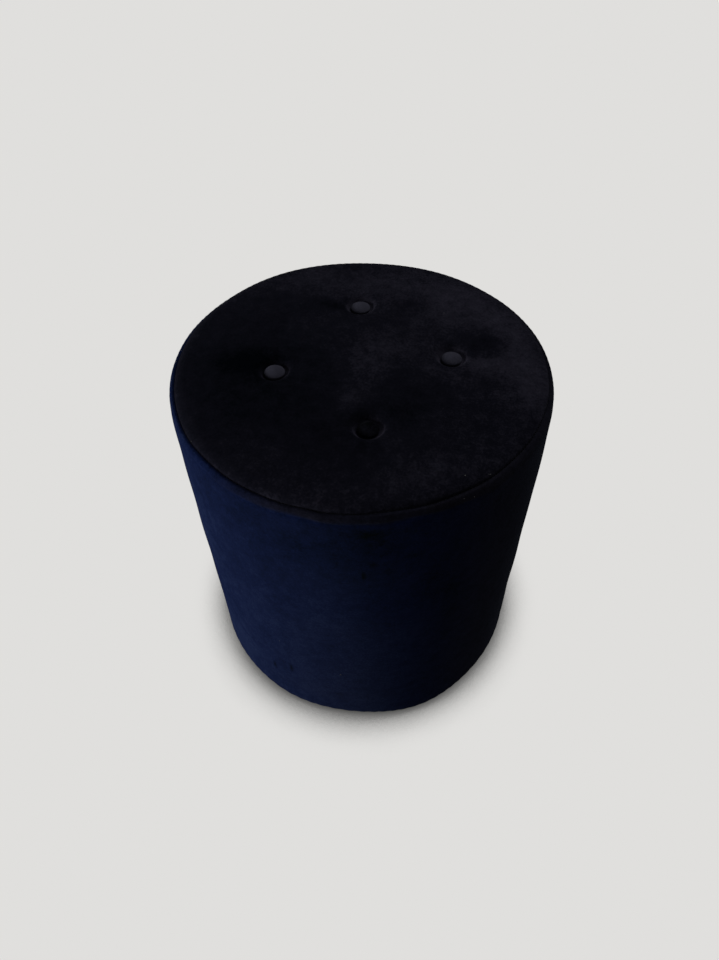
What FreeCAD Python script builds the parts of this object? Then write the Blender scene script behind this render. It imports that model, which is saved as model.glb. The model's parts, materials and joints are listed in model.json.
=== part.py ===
import FreeCAD, Part
import math
import os
import re

import Sketcher

# A round upholstered tuffet. Millimetres, +Z up, origin on the floor under the middle of the drum.
# The front, as the photograph shows it, faces -Y.

sizes = {
    # the outside
    "drum_radius": 200,
    "drum_height": 430,
    "crown_rise": 8,
    "top_corner": 20,
    "base_corner": 10,
    # velvet covers and their seam
    "cloth": 1.5,
    "fit": 0.3,
    "seam_angle": 45,
    "seam_gap": 1.2,
    "allowance_angle": 32,
    "thread_radius": 0.35,
    "hem_width": 35,
    # padding
    "wadding": 5,
    "seat_foam_rim": 50,
    "side_padding": 9,
    # drum frame
    "shell_wall": 3,
    "shell_setback": 1.5,
    "seat_ply": 15,
    "base_ply": 15,
    "post_count": 6,
    "post_thick": 22,
    "post_width": 45,
    # screws
    "screw_length": 45,
    "screw_radius": 1.8,
    "screw_head_radius": 4,
    "screw_head_depth": 3,
    "screw_spacing": 22,
    "screw_fit": 0.15,
    # staples
    "staple_wire": 0.7,
    "staple_width": 1.2,
    "staple_crown": 10,
    "staple_leg": 8,
    "staple_fit": 0.12,
    "layer_gap": 0.1,
    "hem_staple_count": 24,
    "dust_staple_count": 18,
    "shell_staple_count": 12,
    # underside
    "dust_cloth": 0.6,
    "dust_lap": 13,
    "glide_count": 4,
    "glide_inset": 15,
    "glide_radius": 12,
    "glide_height": 4,
    "glide_dome": 0.8,
    "nail_radius": 1.1,
    "nail_head_radius": 3.2,
    "nail_head": 0.8,
    "nail_recess": 1,
    "nail_length": 17,
    # tufts
    "tuft_sink": 11,
    "tuft_floor_radius": 11.4,
    "tuft_pocket": 2.5,
    "tuft_lip": 14,
    "tuft_slope": 62,
    "tuft_flare": 12,
    "tuft_1_radius": 94.5,
    "tuft_1_angle": 3,
    "tuft_2_radius": 96,
    "tuft_2_angle": 90,
    "tuft_3_radius": 89.5,
    "tuft_3_angle": 188,
    "tuft_4_radius": 97,
    "tuft_4_angle": 274,
    # covered buttons
    "button_radius": 10.8,
    "button_height": 6.5,
    "button_edge": 1.8,
    "button_cloth": 1,
    "button_hole_radius": 7,
    "button_metal": 0.5,
    "eye_radius": 2.2,
    "eye_wire": 0.5,
    "shank_bore_radius": 3.4,
    # twine and toggles
    "twine_radius": 0.45,
    "doubled_twine_radius": 0.65,
    "twine_loop": 1.6,
    "twine_bore_radius": 1,
    "board_bore_radius": 3,
    "knot_radius": 2.2,
    "toggle_radius": 4,
    "toggle_length": 30,
}

# Places worked out from the sizes, as expressions.
places = {
    "corner_x": "drum_radius - top_corner",
    "corner_z": "drum_height - crown_rise - top_corner",
    "crown_sphere": "(corner_x ^ 2 + (crown_rise + top_corner) ^ 2 - top_corner ^ 2) / (2 * crown_rise)",
    "crown_reach": "crown_sphere - top_corner",
    "seam_open": "seam_gap * 90 / (pi * top_corner)",
    "web_angle": "seam_angle + seam_open + cloth * 180 / (pi * (top_corner - cloth))",
    "allowance_end": "seam_angle - allowance_angle",
    "recess_turn": "3 * fit * 180 / (pi * top_corner)",
    "inner_cloth": "cloth + fit",
    "inner_allowance": "2 * cloth + fit",
    "wadding_top": "cloth + fit",
    "wadding_recess": "2 * cloth + 2 * fit",
    "wadding_under": "cloth + fit + wadding",
    "foam_top": "cloth + 2 * fit + wadding",
    "dust_bottom": "glide_height",
    "dust_top": "dust_bottom + dust_cloth",
    "hem_bottom": "dust_top + staple_wire + 2 * layer_gap",
    "base_bottom": "hem_bottom + cloth",
    "base_top": "base_bottom + base_ply",
    "seat_top": "drum_height - crown_rise - foam_top - seat_foam_rim",
    "seat_bottom": "seat_top - seat_ply",
    "base_corner_x": "drum_radius - base_corner",
    "base_corner_z": "hem_bottom + base_corner",
    "hem_inner": "drum_radius - hem_width",
    "glide_circle": "hem_inner - glide_inset",
    "dust_radius": "hem_inner + dust_lap",
    "hem_staple_circle": "hem_inner + dust_lap / 2 - staple_width",
    "dust_staple_circle": "dust_radius - dust_lap / 3",
    "padding_outer": "drum_radius - cloth - fit",
    "padding_inner": "padding_outer - side_padding",
    "padding_curve": "base_corner - cloth - fit",
    "shell_outer": "padding_inner - staple_wire - 2 * layer_gap",
    "shell_inner": "shell_outer - shell_wall",
    "board_radius": "shell_inner - fit",
    "post_face": "sqrt(board_radius ^ 2 - post_width ^ 2 / 4)",
    "screw_circle": "post_face - post_thick / 2",
    "tuft_floor": "drum_height - tuft_sink",
    "button_seat": "tuft_floor + layer_gap",
    "button_corner": "button_radius - button_edge",
    "button_rise": "button_height - 2 * button_edge",
    "button_sphere": "(button_corner ^ 2 + (button_rise + button_edge) ^ 2 - button_edge ^ 2)"
                     " / (2 * button_rise)",
    "button_reach": "button_sphere - button_edge",
    "shell_skin": "button_cloth + layer_gap",
    "shell_back": "button_cloth + layer_gap + button_metal",
    "eye_drop": "eye_radius - 2 * eye_wire + button_cloth / 2",
    "link_drop": "eye_drop + eye_radius - eye_wire - twine_radius - layer_gap + twine_loop",
    "toggle_top": "seat_bottom - fit",
    "toggle_middle": "toggle_top - toggle_radius",
    "knot_middle": "toggle_top - 2 * toggle_radius - layer_gap - knot_radius",
}


def bound(text):
    """The expression with every place worked out and every size pointed at the spreadsheet."""
    text = str(text)
    while any(re.search(rf"\b{name}\b", text) for name in places):
        for name, meaning in places.items():
            text = re.sub(rf"\b{name}\b", f"({meaning})", text)
    return re.sub(r"\b[a-z]\w*\b", lambda word: "sizes." + word[0] if word[0] in sizes else word[0], text)


def number(text):
    """What an expression comes to now."""
    found = sheet.evalExpression(bound(text))
    return float(getattr(found, "Value", found))


doc = FreeCAD.newDocument("tuffet")
sheet = doc.addObject("Spreadsheet::Sheet", "sizes")
for row, (alias, size) in enumerate(sizes.items(), start=1):
    sheet.set(f"A{row}", alias.replace("_", " "))
    sheet.set(f"B{row}", str(size))
    sheet.setAlias(f"B{row}", alias)
doc.recompute()

nodes = []


def keep(piece):
    """Marks a finished piece, whose Label names its file."""
    nodes.append(piece)
    return piece


def bind(piece, **values):
    for name, text in values.items():
        piece.setExpression(name, bound(text))
    return piece


def place(piece, x="0", y="0", z="0", yaw="0", pitch="0", roll="0"):
    where = f"vector({bound(x)}; {bound(y)}; {bound(z)})"
    turn = f"rotation({bound(yaw)}; {bound(pitch)}; {bound(roll)})"
    piece.setExpression("Placement", f"placement({where}; {turn})")
    return piece


# Sketches

def arc_between(start, end, radius, left):
    """A round stretch of under half a circle, turning left or right on its way."""
    chord = end - start
    rise = math.sqrt(radius ** 2 - (chord.Length / 2) ** 2)
    side = FreeCAD.Vector(-chord.y, chord.x, 0).normalize() * (1 if left else -1)
    centre = (start + end) / 2 + side * rise
    first, last = (start, end) if left else (end, start)
    angles = [math.atan2(point.y - centre.y, point.x - centre.x) for point in (first, last)]
    circle = Part.Circle(centre, FreeCAD.Vector(0, 0, 1), radius)
    return Part.ArcOfCircle(circle, *angles)


def draw(sketch, *corners):
    """A closed outline. A corner is (x, y), or (x, y, radius, "left" or "right") when an arc leads to it."""
    spots = [FreeCAD.Vector(number(corner[0]), number(corner[1]), 0) for corner in corners]
    edges = []
    for k in range(len(corners)):
        start, end = spots[k], spots[(k + 1) % len(corners)]
        goal = corners[(k + 1) % len(corners)]
        if len(goal) == 4:
            left = goal[3] == "left"
            edge = sketch.addGeometry(arc_between(start, end, number(goal[2]), left), False)
            edges.append((edge, 1 if left else 2, 2 if left else 1))
            held = sketch.addConstraint(Sketcher.Constraint("Radius", edge, number(goal[2])))
            sketch.setExpression(f"Constraints[{held}]", bound(goal[2]))
        else:
            edge = sketch.addGeometry(Part.LineSegment(start, end), False)
            edges.append((edge, 1, 2))
    for k, (edge, first, last) in enumerate(edges):
        after, start, _ = edges[(k + 1) % len(edges)]
        sketch.addConstraint(Sketcher.Constraint("Coincident", edge, last, after, start))
        for way, text, value in (("DistanceX", corners[k][0], spots[k].x),
                                 ("DistanceY", corners[k][1], spots[k].y)):
            if text == "0":
                axis = -2 if way == "DistanceX" else -1
                sketch.addConstraint(Sketcher.Constraint("PointOnObject", edge, first, axis))
            else:
                held = sketch.addConstraint(Sketcher.Constraint(way, -1, 1, edge, first, value))
                sketch.setExpression(f"Constraints[{held}]", bound(text))


def body_with_sketch(label, role, corners):
    body = doc.addObject("PartDesign::Body", label)
    plane = next(item for item in body.Origin.OriginFeatures if item.Role == role)
    sketch = body.newObject("Sketcher::SketchObject", label + "_outline")
    sketch.AttachmentSupport = [(plane, "")]
    sketch.MapMode = "FlatFace"
    draw(sketch, *corners)
    return body, sketch


def turned(label, *corners):
    """A body turned about Z from its outline in radius and height."""
    body, sketch = body_with_sketch(label, "XZ_Plane", corners)
    feature = body.newObject("PartDesign::Revolution", label + "_turn")
    feature.Profile = sketch
    feature.ReferenceAxis = (sketch, ["V_Axis"])
    feature.Angle = 360
    sketch.Visibility = False
    return body


# Booleans and copies

def gather(label, pieces):
    group = doc.addObject("Part::Compound", label)
    group.Links = pieces
    return group


def cut(label, base, tool):
    piece = doc.addObject("Part::Cut", label)
    piece.Base = base
    piece.Tool = tool
    return piece


def fuse(label, *pieces):
    piece = doc.addObject("Part::MultiFuse", label)
    piece.Shapes = list(pieces)
    return piece


def cylinder(label, radius, height, **where):
    return place(bind(doc.addObject("Part::Cylinder", label), Radius=radius, Height=height), **where)


def round_spots(count, radius, first="0", across="0"):
    """Places on a circle, each moved sideways by across: (x, y, angle)."""
    spots = []
    for k in range(int(number(count))):
        angle = f"({first} + {k} * 360 / {count})"
        x = f"{radius} * cos({angle}) - ({across}) * sin({angle})"
        y = f"{radius} * sin({angle}) + ({across}) * cos({angle})"
        spots.append((x, y, angle))
    return spots


def copies(label, item, spots, height, pitch="0", roll="0"):
    """A group of separate copies of one item."""
    links = []
    for k, (x, y, angle) in enumerate(spots, start=1):
        link = doc.addObject("App::Link", f"{label}_copy_{k}")
        link.LinkedObject = item
        place(link, x=x, y=y, z=height, yaw=angle, pitch=pitch, roll=roll)
        links.append(link)
    return gather(label, links)


# The outer form of the seat: a crown that runs into the rounded corner

def on_corner(depth, angle):
    """A point that lies so deep under the surface of the top corner, at an angle above level."""
    radius = f"(top_corner - ({depth}))"
    return f"corner_x + {radius} * cos({angle})", f"corner_z + {radius} * sin({angle})"


def corner_arc(depth, angle, way="right"):
    return *on_corner(depth, angle), f"top_corner - ({depth})", way


def crown(depth):
    """From the middle of the top out to where the crown meets the corner, so deep under the surface."""
    radius = f"(top_corner - ({depth}))"
    return [
        ("0", f"drum_height - ({depth})"),
        (f"corner_x + {radius} * corner_x / crown_reach",
         f"corner_z + {radius} * (crown_reach - crown_rise) / crown_reach",
         f"crown_sphere - ({depth})", "right"),
    ]


def below_crown(label, depth, bottom):
    """The whole seat form so deep under the surface, down to a flat bottom."""
    return turned(
        label,
        *crown(depth),
        corner_arc(depth, "0"),
        (f"drum_radius - ({depth})", bottom),
        ("0", bottom),
    )


# Tufts: each is a pocket with a flat floor, a rounded foot and a wide rounded lip

tufts = [(f"tuft_{n}_radius * cos(tuft_{n}_angle)", f"tuft_{n}_radius * sin(tuft_{n}_angle)",
          f"tuft_{n}_angle") for n in (1, 2, 3, 4)]


def tuft_hollows(label, depth):
    """What the four tufts take out of a layer that lies so deep under the surface."""
    foot = f"(tuft_pocket + ({depth}))"
    lip = f"(tuft_lip - ({depth}))"
    foot_x = "tuft_floor_radius"
    foot_z = "tuft_floor + tuft_pocket"
    lip_x = f"{foot_x} + (tuft_pocket + tuft_lip) * sin(tuft_slope)"
    lip_z = f"{foot_z} - (tuft_pocket + tuft_lip) * cos(tuft_slope)"
    flare_x = f"{lip_x} - {lip} * sin(tuft_flare)"
    flare_z = f"{lip_z} + {lip} * cos(tuft_flare)"
    over = "drum_height + tuft_pocket"
    hollow = turned(
        label + "_hollow",
        ("0", f"tuft_floor - ({depth})"),
        (foot_x, f"tuft_floor - ({depth})"),
        (f"{foot_x} + {foot} * sin(tuft_slope)", f"{foot_z} - {foot} * cos(tuft_slope)", foot, "left"),
        (flare_x, flare_z, lip, "right"),
        (f"{flare_x} + ({over} - ({flare_z})) / tan(tuft_flare)", over),
        ("0", over),
    )
    return copies(label, hollow, tufts, "0")


def tuft_bores(label, radius, bottom, top):
    """A vertical hole at each tuft, from one height to another."""
    bore = cylinder(label + "_bore", radius, f"({top}) - ({bottom})")
    return copies(label, bore, tufts, bottom)


# Fasteners, each with a slightly fuller copy that cuts its hole

def screw(label, growth, head_over):
    """A countersunk screw that points up from its head, with its face at the origin."""
    face = [("0", f"0 - ({head_over})"), (f"screw_head_radius + {growth}", f"0 - ({head_over})")]
    if head_over == "0":
        face = [("0", "0"), (f"screw_head_radius + {growth}", "0")]
    else:
        face.append((f"screw_head_radius + {growth}", "0"))
    return turned(
        label,
        *face,
        (f"screw_radius + {growth}", "screw_head_depth"),
        (f"screw_radius + {growth}", f"screw_length - 3 * screw_radius + {growth}"),
        ("0", f"screw_length + {growth}"),
    )


def staple(label, growth):
    """A staple whose crown lies across X with its outer face at the origin and its legs up."""
    outer = f"(staple_crown / 2 + {growth})"
    inner = f"(staple_crown / 2 - staple_wire - {growth})"
    tip = f"staple_wire + staple_leg + {growth}"
    bottom = "0" if growth == "0" else f"0 - {growth}"
    body, sketch = body_with_sketch(label, "XZ_Plane", [
        (f"0 - {outer}", bottom),
        (outer, bottom),
        (outer, tip),
        (inner, tip),
        (inner, f"staple_wire + {growth}"),
        (f"0 - {inner}", f"staple_wire + {growth}"),
        (f"0 - {inner}", tip),
        (f"0 - {outer}", tip),
    ])
    feature = body.newObject("PartDesign::Pad", label + "_pad")
    feature.Profile = sketch
    feature.Midplane = True
    feature.setExpression("Length", bound(f"staple_width + 2 * {growth}"))
    sketch.Visibility = False
    return body


screw_item = screw("screw_item", "0", "0")
screw_hole = screw("screw_hole", "screw_fit", "screw_head_depth")
staple_item = staple("staple_item", "0")
staple_hole = staple("staple_hole", "staple_fit")

screw_spots = (round_spots("post_count", "screw_circle", across="screw_spacing / 2")
               + round_spots("post_count", "screw_circle", across="0 - screw_spacing / 2"))
base_screws = keep(copies("base_screws", screw_item, screw_spots, "base_bottom"))
base_screw_holes = copies("base_screw_holes", screw_hole, screw_spots, "base_bottom")
seat_screws = keep(copies("seat_screws", screw_item, screw_spots, "seat_top", roll="180"))
seat_screw_holes = copies("seat_screw_holes", screw_hole, screw_spots, "seat_top", roll="180")

hem_spots = round_spots("hem_staple_count", "hem_staple_circle", first="180 / hem_staple_count")
dust_spots = round_spots("dust_staple_count", "dust_staple_circle", first="180 / dust_staple_count")
shell_spots = round_spots("shell_staple_count", "(shell_outer + layer_gap + staple_wire)",
                          first="180 / shell_staple_count")
hem_spots = [(x, y, f"({angle} + 90)") for x, y, angle in hem_spots]
dust_spots = [(x, y, f"({angle} + 90)") for x, y, angle in dust_spots]

hem_level = "hem_bottom - staple_wire - layer_gap"
dust_level = "dust_bottom - staple_wire"
keep(copies("hem_staples", staple_item, hem_spots, hem_level))
hem_slots = copies("hem_slots", staple_hole, hem_spots, hem_level)
keep(copies("dust_cover_staples", staple_item, dust_spots, dust_level))
dust_slots = copies("dust_slots", staple_hole, dust_spots, dust_level)
underside_slots = gather("underside_slots", [hem_slots, dust_slots])

shell_levels = {"seat": "seat_top - seat_ply / 2", "base": "base_bottom + base_ply / 2"}
shell_rows = [copies(f"{name}_edge_staples", staple_item, shell_spots, level, pitch="0 - 90")
              for name, level in shell_levels.items()]
shell_slots = {name: copies(f"{name}_edge_slots", staple_hole, shell_spots, level, pitch="0 - 90")
               for name, level in shell_levels.items()}
keep(gather("shell_staples", shell_rows))

# Nailed glides

glide_spots = round_spots("glide_count", "glide_circle", first="180 / glide_count")


def nail(label, growth):
    head_top = f"nail_recess + nail_head + {growth}"
    head_bottom = "nail_recess" if growth == "0" else f"nail_recess - {growth}"
    return turned(
        label,
        ("0", head_bottom),
        (f"nail_head_radius + {growth}", head_bottom),
        (f"nail_head_radius + {growth}", head_top),
        (f"nail_radius + {growth}", head_top),
        (f"nail_radius + {growth}", f"nail_recess + nail_length - 2 * nail_radius + {growth}"),
        ("0", f"nail_recess + nail_length + {growth}"),
    )


nail_item = nail("nail_item", "0")
nail_hole = nail("nail_hole", "screw_fit")
keep(copies("glide_nails", nail_item, glide_spots, "0"))
nail_holes = copies("nail_holes", nail_hole, glide_spots, "0")

for k, (x, y, angle) in enumerate(glide_spots, start=1):
    bore = "(nail_radius + screw_fit)"
    sink = "(nail_head_radius + screw_fit)"
    glide = turned(
        f"glide_{k}",
        (bore, "nail_recess + nail_head + screw_fit"),
        (sink, "nail_recess + nail_head + screw_fit"),
        (sink, "0"),
        ("glide_radius - 2 * glide_dome", "0"),
        ("glide_radius", "2 * glide_dome", "2 * glide_dome", "left"),
        ("glide_radius", "glide_height"),
        (bore, "glide_height"),
    )
    keep(place(glide, x=x, y=y))

# Boards, posts and the shell bent round them

seat_blank = cylinder("seat_blank", "board_radius", "seat_ply", z="seat_bottom")
seat_drilled = cut("seat_drilled", seat_blank, seat_screw_holes)
seat_slotted = cut("seat_slotted", seat_drilled, shell_slots["seat"])
board_bores = tuft_bores("board_bores", "board_bore_radius", "seat_bottom - board_bore_radius",
                         "seat_top + board_bore_radius")
keep(cut("seat_board", seat_slotted, board_bores))

base_blank = cylinder("base_blank", "board_radius", "base_ply", z="base_bottom")
base_drilled = cut("base_drilled", base_blank, base_screw_holes)
base_slotted = cut("base_slotted", base_drilled, shell_slots["base"])
base_stapled = cut("base_stapled", base_slotted, underside_slots)
keep(cut("base_board", base_stapled, nail_holes))

post_inner = "(post_face - post_thick)"
for k in range(int(sizes["post_count"])):
    angle = f"({k} * 360 / post_count)"
    blank = bind(doc.addObject("Part::Box", f"post_{k + 1}_blank"), Length="post_thick",
                 Width="post_width", Height="seat_bottom - base_top")
    place(blank, x=f"{post_inner} * cos({angle}) + post_width / 2 * sin({angle})",
          y=f"{post_inner} * sin({angle}) - post_width / 2 * cos({angle})", z="base_top", yaw=angle)
    drilled = cut(f"post_{k + 1}_drilled", blank, base_screw_holes)
    keep(cut(f"post_{k + 1}", drilled, seat_screw_holes))

shell_bottom = "(base_bottom + shell_setback)"
shell_blank = turned(
    "shell_blank",
    ("shell_inner", shell_bottom),
    ("shell_outer", shell_bottom),
    ("shell_outer", "seat_top"),
    ("shell_inner", "seat_top"),
)
shell_part = cut("shell_part", shell_blank, shell_slots["seat"])
keep(cut("drum_shell", shell_part, shell_slots["base"]))

# Padding

padding_start = "base_corner_z - sqrt(padding_curve ^ 2 - (padding_inner - base_corner_x) ^ 2)"
keep(turned(
    "side_foam",
    ("padding_inner", padding_start),
    ("padding_outer", "base_corner_z", "padding_curve", "left"),
    ("padding_outer", "seat_top"),
    ("padding_inner", "seat_top"),
))

foam_form = below_crown("foam_form", "foam_top", "seat_top")
foam_tufted = cut("foam_tufted", foam_form, tuft_hollows("foam_tufts", "foam_top"))
twine_bores = tuft_bores("twine_bores", "twine_bore_radius", "seat_top - twine_bore_radius", "tuft_floor")
keep(cut("seat_foam", foam_tufted, twine_bores))

wadding_outside = turned(
    "wadding_outside",
    *crown("wadding_top"),
    corner_arc("wadding_top", "web_angle + recess_turn"),
    on_corner("wadding_recess", "web_angle + recess_turn"),
    corner_arc("wadding_recess", "allowance_end - recess_turn"),
    on_corner("wadding_top", "allowance_end - recess_turn"),
    corner_arc("wadding_top", "0"),
    ("drum_radius - wadding_top", "seat_top"),
    ("0", "seat_top"),
)
wadding_inside = below_crown("wadding_inside", "wadding_under", "seat_top - wadding")
wadding_tufted = cut("wadding_tufted", wadding_outside, tuft_hollows("wadding_tufts", "wadding_top"))
wadding_core = cut("wadding_core", wadding_inside, tuft_hollows("wadding_core_tufts", "wadding_under"))
wadding_layer = cut("wadding_layer", wadding_tufted, wadding_core)
shank_bores = tuft_bores("shank_bores", "shank_bore_radius", "tuft_floor - foam_top", "tuft_floor + cloth")
keep(cut("top_wadding", wadding_layer, shank_bores))

# Velvet covers. The top's allowance turns down behind the side cover.

allowance_core = "(inner_allowance + wadding)"
cover_outside = turned(
    "cover_outside",
    *crown("0"),
    corner_arc("0", "seam_angle + seam_open"),
    on_corner("inner_cloth", "seam_angle + seam_open"),
    corner_arc("inner_cloth", "allowance_end"),
    on_corner(allowance_core, "allowance_end"),
    ("0", on_corner(allowance_core, "allowance_end")[1]),
)
cover_inside = turned(
    "cover_inside",
    *crown("cloth"),
    corner_arc("cloth", "web_angle"),
    on_corner("inner_allowance", "web_angle"),
    corner_arc("inner_allowance", "0"),
    ("drum_radius - inner_allowance", "corner_z - wadding"),
    ("0", "corner_z - wadding"),
)
cover_tufted = cut("cover_tufted", cover_outside, tuft_hollows("cover_tufts", "0"))
cover_core = cut("cover_core", cover_inside, tuft_hollows("cover_core_tufts", "cloth"))
cover_layer = cut("cover_layer", cover_tufted, cover_core)
keep(cut("top_cover", cover_layer, shank_bores))

sleeve = turned(
    "sleeve",
    on_corner("0", "seam_angle - seam_open"),
    corner_arc("0", "0"),
    ("drum_radius", "base_corner_z"),
    ("base_corner_x", "hem_bottom", "base_corner", "right"),
    ("hem_inner", "hem_bottom"),
    ("hem_inner", "base_bottom"),
    ("base_corner_x", "base_bottom"),
    ("drum_radius - cloth", "base_corner_z", "base_corner - cloth", "left"),
    ("drum_radius - cloth", "corner_z"),
    corner_arc("cloth", "seam_angle - seam_open", "left"),
)
keep(cut("side_cover", sleeve, underside_slots))

seam_ring = "(top_corner - cloth / 2)"
seam_thread = bind(doc.addObject("Part::Torus", "seam_thread"),
                   Radius1=f"corner_x + {seam_ring} * cos(seam_angle)", Radius2="thread_radius")
keep(place(seam_thread, z=f"corner_z + {seam_ring} * sin(seam_angle)"))

dust_blank = cylinder("dust_blank", "dust_radius", "dust_cloth", z="dust_bottom")
dust_stapled = cut("dust_stapled", dust_blank, dust_slots)
keep(cut("dust_cover", dust_stapled, nail_holes))


# Covered buttons, their twine and the toggles under the seat board

def button_corner_point(depth, angle):
    radius = f"(button_edge - ({depth}))"
    return f"button_corner + {radius} * cos({angle})", f"button_edge + {radius} * sin({angle})"


def button_dome(depth):
    radius = f"(button_edge - ({depth}))"
    return [
        ("0", f"button_height - ({depth})"),
        (f"button_corner + {radius} * button_corner / button_reach",
         f"button_edge + {radius} * (button_reach - button_rise) / button_reach",
         f"button_sphere - ({depth})", "right"),
    ]


def button_cover(label):
    """The cloth: over the dome, round the edge and turned under to a hole."""
    inner = button_dome("button_cloth")
    return turned(
        label,
        *button_dome("0"),
        ("button_radius", "button_edge", "button_edge", "right"),
        ("button_corner", "0", "button_edge", "right"),
        ("button_hole_radius", "0"),
        ("button_hole_radius", "button_cloth"),
        ("button_corner", "button_cloth"),
        ("button_radius - button_cloth", "button_edge", "button_edge - button_cloth", "left"),
        (*inner[1][:2], "button_edge - button_cloth", "left"),
        (*inner[0], "button_sphere - button_cloth", "left"),
    )


def button_shell(label):
    """The domed metal cap inside the cloth, open below."""
    outer = button_dome("shell_skin")
    inner = button_dome("shell_back")
    return turned(
        label,
        *outer,
        ("button_radius - shell_skin", "button_edge", "button_edge - shell_skin", "right"),
        ("button_radius - shell_back", "button_edge"),
        (*inner[1][:2], "button_edge - shell_back", "left"),
        (*inner[0], "button_sphere - shell_back", "left"),
    )


def button_back(label, x, y):
    """The stepped plate that holds the cloth, with the wire eye under it."""
    boss = "(button_hole_radius - layer_gap)"
    flange = "(button_radius - shell_back - layer_gap)"
    plate = turned(
        label + "_plate",
        ("0", "layer_gap"),
        (boss, "layer_gap"),
        (boss, "shell_skin"),
        (flange, "shell_skin"),
        (flange, "shell_back"),
        ("0", "shell_back"),
    )
    place(plate, x=x, y=y, z="button_seat")
    eye = bind(doc.addObject("Part::Torus", label + "_eye"), Radius1="eye_radius", Radius2="eye_wire")
    place(eye, x=x, y=y, z="button_seat - eye_drop", roll="90")
    return fuse(label, plate, eye)


def button_twine(label, x, y):
    """Twine linked through the eye, pulled down through the seat and knotted under the toggle."""
    loop = bind(doc.addObject("Part::Torus", label + "_loop"), Radius1="twine_loop", Radius2="twine_radius")
    place(loop, x=x, y=y, z="button_seat - link_drop", pitch="90")
    run_top = "(button_seat - link_drop - twine_loop)"
    run = cylinder(label + "_run", "doubled_twine_radius", f"{run_top} - knot_middle",
                   x=x, y=y, z="knot_middle")
    knot = bind(doc.addObject("Part::Sphere", label + "_knot"), Radius="knot_radius")
    place(knot, x=x, y=y, z="knot_middle")
    return fuse(label, loop, run, knot)


def twine_toggle(label, x, y):
    """A short dowel with a hole across its middle."""
    dowel = cylinder(label + "_dowel", "toggle_radius", "toggle_length",
                     x=f"{x} - toggle_length / 2", y=y, z="toggle_middle", pitch="90")
    hole = cylinder(label + "_hole", "twine_bore_radius", "4 * toggle_radius",
                    x=x, y=y, z="toggle_middle - 2 * toggle_radius")
    return cut(label, dowel, hole)


for n, (x, y, angle) in enumerate(tufts, start=1):
    keep(place(button_cover(f"button_cover_{n}"), x=x, y=y, z="button_seat"))
    keep(place(button_shell(f"button_shell_{n}"), x=x, y=y, z="button_seat"))
    keep(button_back(f"button_back_{n}", x, y))
    keep(button_twine(f"button_twine_{n}", x, y))
    keep(twine_toggle(f"twine_toggle_{n}", x, y))

doc.recompute()

# Every object has to be sound before anything is written
for item in doc.Objects:
    if "Invalid" in item.State or "Error" in item.State:
        raise RuntimeError(f"{item.Label} failed: {item.State}")
for node in nodes:
    if node.Shape.isNull() or not node.Shape.isValid() or not node.Shape.Solids:
        raise RuntimeError(f"{node.Label} has no sound solid")

os.makedirs("parts", exist_ok=True)
for node in nodes:
    node.Shape.exportStep(f"parts/{node.Label}.step")
    print(f"{node.Label}: {len(node.Shape.Solids)} solids, {node.Shape.Volume / 1000:.2f} cm3")
print(f"{len(nodes)} nodes")
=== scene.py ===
import json
import math

import bpy
import numpy as np
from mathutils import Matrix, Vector


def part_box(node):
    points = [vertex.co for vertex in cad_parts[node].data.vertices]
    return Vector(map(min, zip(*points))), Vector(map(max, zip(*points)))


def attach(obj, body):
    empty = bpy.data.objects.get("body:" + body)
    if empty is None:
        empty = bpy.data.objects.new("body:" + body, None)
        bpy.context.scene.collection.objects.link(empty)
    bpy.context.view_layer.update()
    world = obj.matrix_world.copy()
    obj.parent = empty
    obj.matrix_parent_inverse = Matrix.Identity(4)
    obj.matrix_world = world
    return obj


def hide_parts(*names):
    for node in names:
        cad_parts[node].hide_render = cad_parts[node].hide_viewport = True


# A round tuffet in dark velvet with four buttons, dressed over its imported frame.
# Metres, +Z up. The front faces -Y.

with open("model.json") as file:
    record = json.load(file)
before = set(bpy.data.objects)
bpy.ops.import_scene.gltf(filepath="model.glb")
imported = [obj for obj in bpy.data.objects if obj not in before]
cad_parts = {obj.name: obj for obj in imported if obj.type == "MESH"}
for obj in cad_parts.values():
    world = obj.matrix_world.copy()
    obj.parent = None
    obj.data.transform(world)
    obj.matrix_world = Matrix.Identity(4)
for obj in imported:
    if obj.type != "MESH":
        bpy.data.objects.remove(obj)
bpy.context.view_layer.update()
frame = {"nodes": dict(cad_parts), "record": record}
nodes = frame["nodes"]
slotColours = {entry["slot"]: entry["base_color"] for entry in frame["record"]["materials"]}
mm = 0.001
print("frame loaded:", len(nodes), "nodes")


# camera

view = {
    "place": (0.0051, -0.5752, 0.9003),
    "turn": (40.888, 0.8792, -0.0906),  # degrees about X, Y and Z
    "lens": 26.72,  # mm on a 36 mm sensor
}


def makeCamera():
    data = bpy.data.cameras.new("camera")
    data.lens = view["lens"]
    data.sensor_width = 36
    data.clip_start = 0.01
    camera = bpy.data.objects.new("camera", data)
    camera.location = view["place"]
    camera.rotation_euler = [math.radians(angle) for angle in view["turn"]]
    bpy.context.scene.collection.objects.link(camera)
    bpy.context.scene.camera = camera


makeCamera()


# the drum's outline, walked from the middle of the top outwards and down to the hem

drum = {
    "radius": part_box("side_cover")[1].x,
    "height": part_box("top_cover")[1].z,
    "hemHeight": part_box("side_cover")[0].z,
    "crownRise": 8 * mm,
    "topCorner": 20 * mm,
    "baseCorner": 10 * mm,
    "hemWidth": 35 * mm,
    "seamLean": math.radians(45),
}


def arcRun(centreR, centreZ, radius, start, end):
    def at(d):
        lean = start + d / radius
        return centreR + radius * np.sin(lean), centreZ + radius * np.cos(lean), lean

    return radius * (end - start), at


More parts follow.
